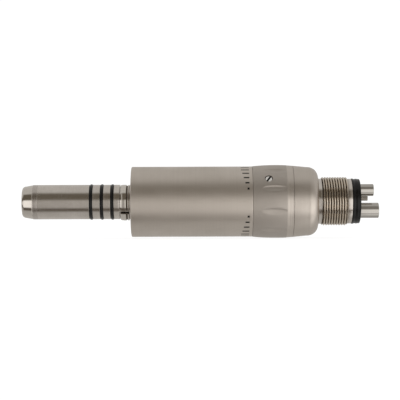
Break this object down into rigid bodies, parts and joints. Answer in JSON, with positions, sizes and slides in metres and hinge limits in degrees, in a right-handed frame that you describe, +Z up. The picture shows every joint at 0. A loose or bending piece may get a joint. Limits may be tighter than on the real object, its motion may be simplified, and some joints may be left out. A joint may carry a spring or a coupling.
{
  "type": "dental air motor",
  "caption": "Straight vane air motor for dental handpieces: slim nose spigot with rubber seals, plain satin sleeve, turning control ring and threaded hose connector.",
  "frame": {"origin": "centre of the connector gasket's rear face, on the motor axis", "axes": "+X along the motor axis out of the rear towards the hose, so the nose spigot points along -X; +Z up; the drive-air tube is on the +Z side and the exhaust tube on the -Z side"},
  "size_m": [0.1032, 0.0212, 0.0212],
  "materials": {
    "turned_steel": "satin",
    "satin_nickel": "satin",
    "polished_steel": "polished",
    "bearing_steel": "polished",
    "motor_steel": "ground",
    "spring_steel": "satin",
    "valve_brass": "turned",
    "black_rubber": "matte",
    "vane_resin": "matte",
    "cage_nylon": "satin"
  },
  "bodies": {
    "motor_body": {"spigot": "turned_steel", "hose_connector": "turned_steel", "outer_sleeve": "satin_nickel", "rear_cap": "satin_nickel", "retaining_spring_ring": "polished_steel", "exhaust_tube": "polished_steel", "drive_air_tube": "polished_steel", "water_tube": "polished_steel", "chip_air_tube": "polished_steel", "spray_water_line": "polished_steel", "spray_air_line": "polished_steel", "locating_pin": "bearing_steel", "front_bearing_outer_race": "bearing_steel", "rear_bearing_outer_race": "bearing_steel", "air_cylinder": "motor_steel", "front_end_plate": "motor_steel", "rear_end_plate": "motor_steel", "detent_spring": "spring_steel", "preload_wave_washer": "spring_steel", "valve_body": "valve_brass", "motor_lock_nut": "valve_brass", "spigot_seal_1": "black_rubber", "spigot_seal_2": "black_rubber", "spigot_seal_3": "black_rubber", "flange_seal": "black_rubber", "ring_front_seal": "black_rubber", "ring_rear_seal": "black_rubber", "connector_seal": "black_rubber", "connector_gasket": "black_rubber"},
    "rotor": {"rotor": "motor_steel", "front_bearing_inner_race": "bearing_steel", "rear_bearing_inner_race": "bearing_steel", "dog_spring": "spring_steel"},
    "drive_dog": {"drive_dog": "bearing_steel", "dog_pin": "bearing_steel"},
    "front_ball_set": {"front_bearing_cage": "cage_nylon", "front_bearing_ball_1": "bearing_steel", "front_bearing_ball_2": "bearing_steel", "front_bearing_ball_3": "bearing_steel", "front_bearing_ball_4": "bearing_steel", "front_bearing_ball_5": "bearing_steel", "front_bearing_ball_6": "bearing_steel", "front_bearing_ball_7": "bearing_steel"},
    "rear_ball_set": {"rear_bearing_cage": "cage_nylon", "rear_bearing_ball_1": "bearing_steel", "rear_bearing_ball_2": "bearing_steel", "rear_bearing_ball_3": "bearing_steel", "rear_bearing_ball_4": "bearing_steel", "rear_bearing_ball_5": "bearing_steel", "rear_bearing_ball_6": "bearing_steel", "rear_bearing_ball_7": "bearing_steel"},
    "control_ring": {"control_ring": "satin_nickel", "control_ring_screw": "polished_steel", "reversing_valve": "valve_brass", "reversing_valve_seal": "black_rubber"},
    "detent_ball": {"detent_ball": "bearing_steel"},
    "vane_1": {"vane_1": "vane_resin"},
    "vane_2": {"vane_2": "vane_resin"},
    "vane_3": {"vane_3": "vane_resin"},
    "vane_4": {"vane_4": "vane_resin"}
  },
  "joints": [
    {"name": "rotor_spin", "type": "hinge", "parent": "motor_body", "child": "rotor", "pos_m": [-0.05, 0, 0], "axis": [1, 0, 0], "continuous": true},
    {"name": "front_ball_set_spin", "type": "hinge", "parent": "motor_body", "child": "front_ball_set", "pos_m": [-0.05, 0, 0], "axis": [1, 0, 0], "continuous": true},
    {"name": "rear_ball_set_spin", "type": "hinge", "parent": "motor_body", "child": "rear_ball_set", "pos_m": [-0.05, 0, 0], "axis": [1, 0, 0], "continuous": true},
    {"name": "drive_dog_slide", "type": "slide", "parent": "rotor", "child": "drive_dog", "axis": [1, 0, 0], "range_m": [0, 0.002], "stiffness_N_per_m": 600, "springref_m": -0.001, "deforming": ["dog_spring"]},
    {"name": "control_ring_turn", "type": "hinge", "parent": "motor_body", "child": "control_ring", "pos_m": [-0.025, 0, 0], "axis": [1, 0, 0], "range_deg": [-78, 78]},
    {"name": "detent_press", "type": "slide", "parent": "motor_body", "child": "detent_ball", "axis": [0, -0.7986, 0.6018], "range_m": [0, 0.0003], "stiffness_N_per_m": 1500, "springref_m": -0.0005, "deforming": ["detent_spring"]},
    {"name": "vane_1_slide", "type": "slide", "parent": "rotor", "child": "vane_1", "axis": [0, -0.1392, 0.9903], "range_m": [-0.0003, 0]},
    {"name": "vane_2_slide", "type": "slide", "parent": "rotor", "child": "vane_2", "axis": [0, 0.9903, 0.1392], "range_m": [-0.0003, 0]},
    {"name": "vane_3_slide", "type": "slide", "parent": "rotor", "child": "vane_3", "axis": [0, 0.1392, -0.9903], "range_m": [-0.0003, 0]},
    {"name": "vane_4_slide", "type": "slide", "parent": "rotor", "child": "vane_4", "axis": [0, -0.9903, -0.1392], "range_m": [-0.0003, 0]}
  ],
  "couplings": [
    {"joint": "front_ball_set_spin", "follows": "rotor_spin", "ratio": 0.4},
    {"joint": "rear_ball_set_spin", "follows": "rotor_spin", "ratio": 0.4}
  ]
}
